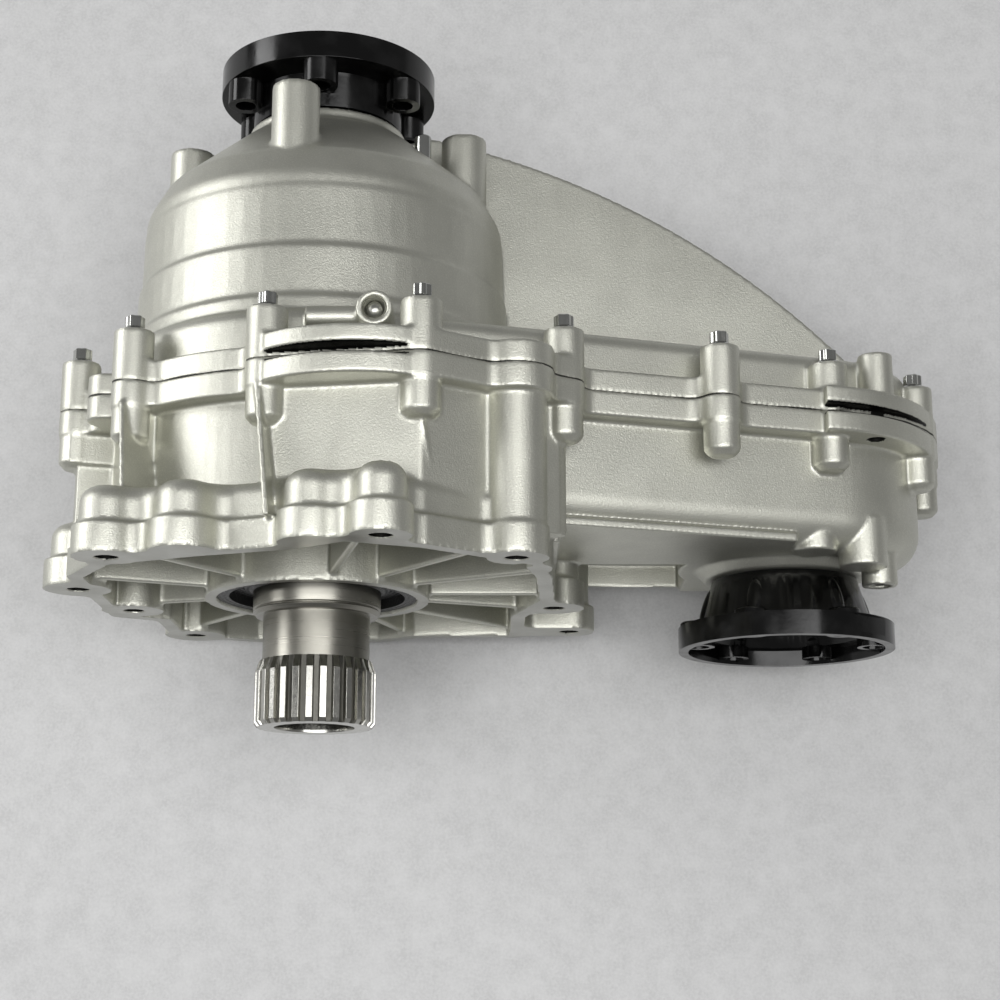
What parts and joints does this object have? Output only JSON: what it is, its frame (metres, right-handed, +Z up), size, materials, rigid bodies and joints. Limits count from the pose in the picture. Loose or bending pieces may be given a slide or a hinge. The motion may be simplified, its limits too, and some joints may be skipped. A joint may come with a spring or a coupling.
{
  "type": "transfer case",
  "caption": "Chain-drive transfer case in two bolted cast halves, with a splined input shaft, a rear drive flange and an offset front cup flange.",
  "frame": {"origin": "axis of the input shaft, in the plane of the mounting face", "axes": "+Y along the shafts towards the rear output, +X towards the front output's side, +Z up, on the side of the filler plug"},
  "size_m": [0.459, 0.3465, 0.3013],
  "materials": {
    "cast_aluminium": "shot-blasted casting, satin",
    "black_flange": "gloss black paint",
    "zinc_steel": "bright zinc plate",
    "shaft_steel": "ground steel",
    "bearing_steel": "polished bearing steel",
    "dark_steel": "blackened spring steel",
    "bronze": "plain bronze",
    "seal_rubber": "black nitrile"
  },
  "bodies": {
    "case": {"case_bolts": "zinc_steel", "case_dowels": "zinc_steel", "drain_plug": "zinc_steel", "drive_chain": "shaft_steel", "filler_plug": "zinc_steel", "front_bearing_outer": "bearing_steel", "front_circlip": "dark_steel", "front_housing": "cast_aluminium", "front_seal": "seal_rubber", "input_bearing_outer": "bearing_steel", "input_circlip": "dark_steel", "input_seal": "seal_rubber", "magnet": "dark_steel", "rear_bearing_outer": "bearing_steel", "rear_circlip": "dark_steel", "rear_housing": "cast_aluminium", "rear_seal": "seal_rubber", "sprocket_bearing_outer": "bearing_steel", "tail_bearing_outer": "bearing_steel", "vent_fitting": "zinc_steel"},
    "sun_set": {"drive_sprocket": "shaft_steel", "sun_gear": "shaft_steel", "sleeve_bushes": "bronze", "sprocket_bearing_inner": "bearing_steel", "sprocket_bearing_rollers": "bearing_steel"},
    "carrier_set": {"input_shaft": "shaft_steel", "planet_carrier": "shaft_steel", "planet_pins": "shaft_steel", "input_bearing_inner": "bearing_steel", "input_bearing_rollers": "bearing_steel"},
    "annulus_set": {"annulus_gear": "shaft_steel", "rear_output_shaft": "shaft_steel", "pilot_bush": "bronze", "thrust_washer": "bronze", "rear_bearing_inner": "bearing_steel", "rear_bearing_rollers": "bearing_steel", "rear_flange": "black_flange", "rear_nut": "shaft_steel"},
    "front_set": {"driven_sprocket": "shaft_steel", "front_output_shaft": "shaft_steel", "front_bearing_inner": "bearing_steel", "front_bearing_rollers": "bearing_steel", "tail_bearing_inner": "bearing_steel", "tail_bearing_rollers": "bearing_steel", "front_flange": "black_flange", "front_nut": "shaft_steel"},
    "planet_1": {"planet_gear_1": "shaft_steel"},
    "planet_2": {"planet_gear_2": "shaft_steel"},
    "planet_3": {"planet_gear_3": "shaft_steel"}
  },
  "joints": [
    {"name": "front_drive", "type": "hinge", "parent": "case", "child": "sun_set", "pos_m": [0, 0.09, 0], "axis": [0, 1, 0], "continuous": true},
    {"name": "front_output", "type": "hinge", "parent": "case", "child": "front_set", "pos_m": [0.23963, 0.09, -0.03967], "axis": [0, 1, 0], "continuous": true},
    {"name": "centre_differential", "type": "hinge", "parent": "sun_set", "child": "carrier_set", "pos_m": [0, 0.144, 0], "axis": [0, 1, 0], "continuous": true},
    {"name": "rear_output", "type": "hinge", "parent": "sun_set", "child": "annulus_set", "pos_m": [0, 0.144, 0], "axis": [0, 1, 0], "continuous": true},
    {"name": "planet_1_spin", "type": "hinge", "parent": "carrier_set", "child": "planet_1", "pos_m": [0.05063, 0.144, 0], "axis": [0, 1, 0], "continuous": true},
    {"name": "planet_2_spin", "type": "hinge", "parent": "carrier_set", "child": "planet_2", "pos_m": [-0.02531, 0.144, -0.04384], "axis": [0, 1, 0], "continuous": true},
    {"name": "planet_3_spin", "type": "hinge", "parent": "carrier_set", "child": "planet_3", "pos_m": [-0.02531, 0.144, 0.04384], "axis": [0, 1, 0], "continuous": true}
  ],
  "couplings": [
    {"joint": "front_output", "follows": "front_drive", "ratio": 1},
    {"joint": "rear_output", "follows": "centre_differential", "ratio": 1.5},
    {"joint": "planet_1_spin", "follows": "centre_differential", "ratio": 2},
    {"joint": "planet_2_spin", "follows": "centre_differential", "ratio": 2},
    {"joint": "planet_3_spin", "follows": "centre_differential", "ratio": 2}
  ]
}
